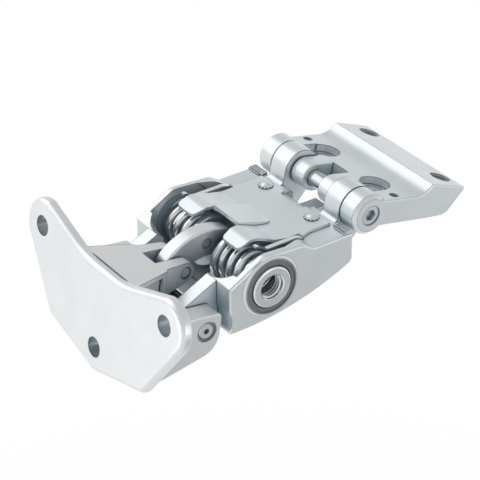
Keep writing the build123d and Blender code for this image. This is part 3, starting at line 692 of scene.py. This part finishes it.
@dataclass
class Studio:
    """White sweep, lamps and the camera of the photograph."""

    camera_place: Place = (0.584167, -0.347905, 0.438542)
    azimuth: float = math.radians(54.5764)
    elevation: float = math.radians(31.9670)
    roll: float = -0.00240949
    lens: float = 152.9216
    sensor: float = 36.0
    nearest: float = 0.01
    lamps_aim: Place = (0.0, 0.08, -0.01)
    floor_drop: float = 0.30
    floor_half: float = 4.0
    floor_colour: Colour = (0.85, 0.86, 0.87)
    floor_roughness: float = 0.9
    # painted soft round shadow beside the hinge, which also darkens what its +X faces mirror
    shadow_place: tuple[float, float] = (0.40, 0.26)
    shadow_span: Span = (0.12, 0.46)
    shadow_tone: float = 0.52
    # painted faint shadow where the hinge hangs over the floor
    under_reach: float = 0.38
    under_span: Span = (0.78, 0.94)
    under_tone: float = 0.75
    # the white dims from the horizon up to this height of the view direction
    ceiling_height: float = 0.55
    ceiling_tone: float = 0.68
    soft_tint: Colour = (0.92, 0.96, 1.0)
    soft_strength: float = 0.48

    def build(self) -> None:
        """Make the floor, the world, the lamps and the camera."""
        self.floor()
        self.world()
        for lamp in Lamp:
            self.lamp(lamp)
        self.camera()

    def floor(self) -> None:
        """A wide pale floor under the hinge that looks white to the camera."""
        mesh = bmesh.new()
        bmesh.ops.create_grid(mesh, x_segments=1, y_segments=1, size=self.floor_half)
        bmesh.ops.translate(mesh, vec=(0.0, 0.0, -self.floor_drop), verts=mesh.verts)
        data = bpy.data.meshes.new("floor")
        mesh.to_mesh(data)
        mesh.free()
        plane = add_to_scene(data, "floor")
        make = NodeBuilder("floor_white")
        make.shader.inputs["Base Color"].default_value = (*self.floor_colour, 1.0)
        make.shader.inputs["Roughness"].default_value = self.floor_roughness
        glow = make.tree.nodes.new("ShaderNodeEmission")
        make.link(self.shade(make), glow.inputs["Strength"])
        self.show_white(make.tree, make.shader.outputs["BSDF"], glow.outputs["Emission"],
                        "Material Output")
        data.materials.append(make.material)

    def shade(self, make: NodeBuilder) -> bpy.types.NodeSocket:
        """Strength of the floor's white, less in the painted shadows beside and under the hinge.

        Args:
            make: Builder of the floor's material.

        Returns:
            The strength, 1 on the open floor.
        """
        centre = Vector((*self.shadow_place, -self.floor_drop))
        away = make.vector("SUBTRACT", make.place, centre)
        size = make.vector("LENGTH", away.outputs["Vector"])
        # painted soft shadow beside the hinge and painted faint shadow under it
        beside = make.steps(size.outputs["Value"], *self.shadow_span, self.shadow_tone, 1.0)
        under = make.steps(make.openness(self.under_reach), *self.under_span, self.under_tone, 1.0)
        return make.math("MULTIPLY", beside, under)

    def show_white(self, tree: bpy.types.NodeTree, lit: bpy.types.NodeSocket,
                   white: bpy.types.NodeSocket, output: str) -> None:
        """Swap in plain white for camera, glossy and transmission rays.

        Args:
            tree: Node tree of the floor's material or of the world.
            lit: Shader that other rays meet.
            white: White shader for the rays that see the background.
            output: Name of the tree's output node.
        """
        rays = tree.nodes.new("ShaderNodeLightPath")
        seen = rays.outputs["Is Camera Ray"]
        for kind in ("Is Glossy Ray", "Is Transmission Ray"):
            either = tree.nodes.new("ShaderNodeMath")
            either.operation = "MAXIMUM"
            tree.links.new(seen, either.inputs[0])
            tree.links.new(rays.outputs[kind], either.inputs[1])
            seen = either.outputs["Value"]
        mix = tree.nodes.new("ShaderNodeMixShader")
        tree.links.new(seen, mix.inputs["Fac"])
        tree.links.new(lit, mix.inputs[1])
        tree.links.new(white, mix.inputs[2])
        tree.links.new(mix.outputs["Shader"], tree.nodes[output].inputs["Surface"])

    def world(self) -> None:
        """White surroundings, a little cooler and dimmer for diffuse light."""
        world = bpy.data.worlds.new("sweep")
        world.use_nodes = True
        tree = world.node_tree
        white = tree.nodes["Background"]
        white.inputs["Color"].default_value = (1.0, 1.0, 1.0, 1.0)
        heading = tree.nodes.new("ShaderNodeTexCoord")
        height = tree.nodes.new("ShaderNodeSeparateXYZ")
        fall = tree.nodes.new("ShaderNodeMapRange")
        fall.interpolation_type = "SMOOTHSTEP"
        for name, value in (("From Min", 0.0), ("From Max", self.ceiling_height),
                            ("To Min", 1.0), ("To Max", self.ceiling_tone)):
            fall.inputs[name].default_value = value
        tree.links.new(heading.outputs["Generated"], height.inputs["Vector"])
        tree.links.new(height.outputs["Z"], fall.inputs["Value"])
        tree.links.new(fall.outputs["Result"], white.inputs["Strength"])
        soft = tree.nodes.new("ShaderNodeBackground")
        soft.inputs["Color"].default_value = (*self.soft_tint, 1.0)
        soft.inputs["Strength"].default_value = self.soft_strength
        self.show_white(tree, soft.outputs["Background"], white.outputs["Background"],
                        "World Output")
        bpy.context.scene.world = world

    def lamp(self, lamp: Lamp) -> None:
        """Make one soft square lamp aimed at the hinge.

        Args:
            lamp: The lamp to make.
        """
        setting = lamp.value
        name = lamp.name.lower()
        data = bpy.data.lights.new(name, "AREA")
        data.size = setting.size
        data.energy = setting.power
        data.color = setting.tint
        made = add_to_scene(data, name)
        made.location = setting.place
        aim = Vector(self.lamps_aim) - Vector(setting.place)
        made.rotation_euler = aim.to_track_quat("-Z", "Y").to_euler()

    def camera(self) -> None:
        """Stand the camera where the photograph was taken."""
        data = bpy.data.cameras.new("camera")
        data.sensor_width = self.sensor
        data.sensor_fit = "HORIZONTAL"
        data.lens = self.lens
        data.clip_start = self.nearest
        made = add_to_scene(data, "camera")
        turn = Euler((math.pi / 2 - self.elevation, 0.0, self.azimuth)).to_matrix().to_4x4()
        made.matrix_world = (Matrix.Translation(Vector(self.camera_place)) @ turn
                             @ Matrix.Rotation(self.roll, 4, "Z"))
        bpy.context.scene.camera = made


def main() -> None:
    """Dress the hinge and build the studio."""
    logging.basicConfig(level=logging.INFO, format="%(name)s: %(message)s")
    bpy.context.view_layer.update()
    for assembly in (MountBracket(), CheckArm(), SpringHousing(), SpringCover(), RearWing(), Studio()):
        assembly.build()
        log.info("built %s", type(assembly).__name__)
    scene = bpy.context.scene
    scene.view_settings.view_transform = "Standard"


if __name__ == "__main__":
    main()
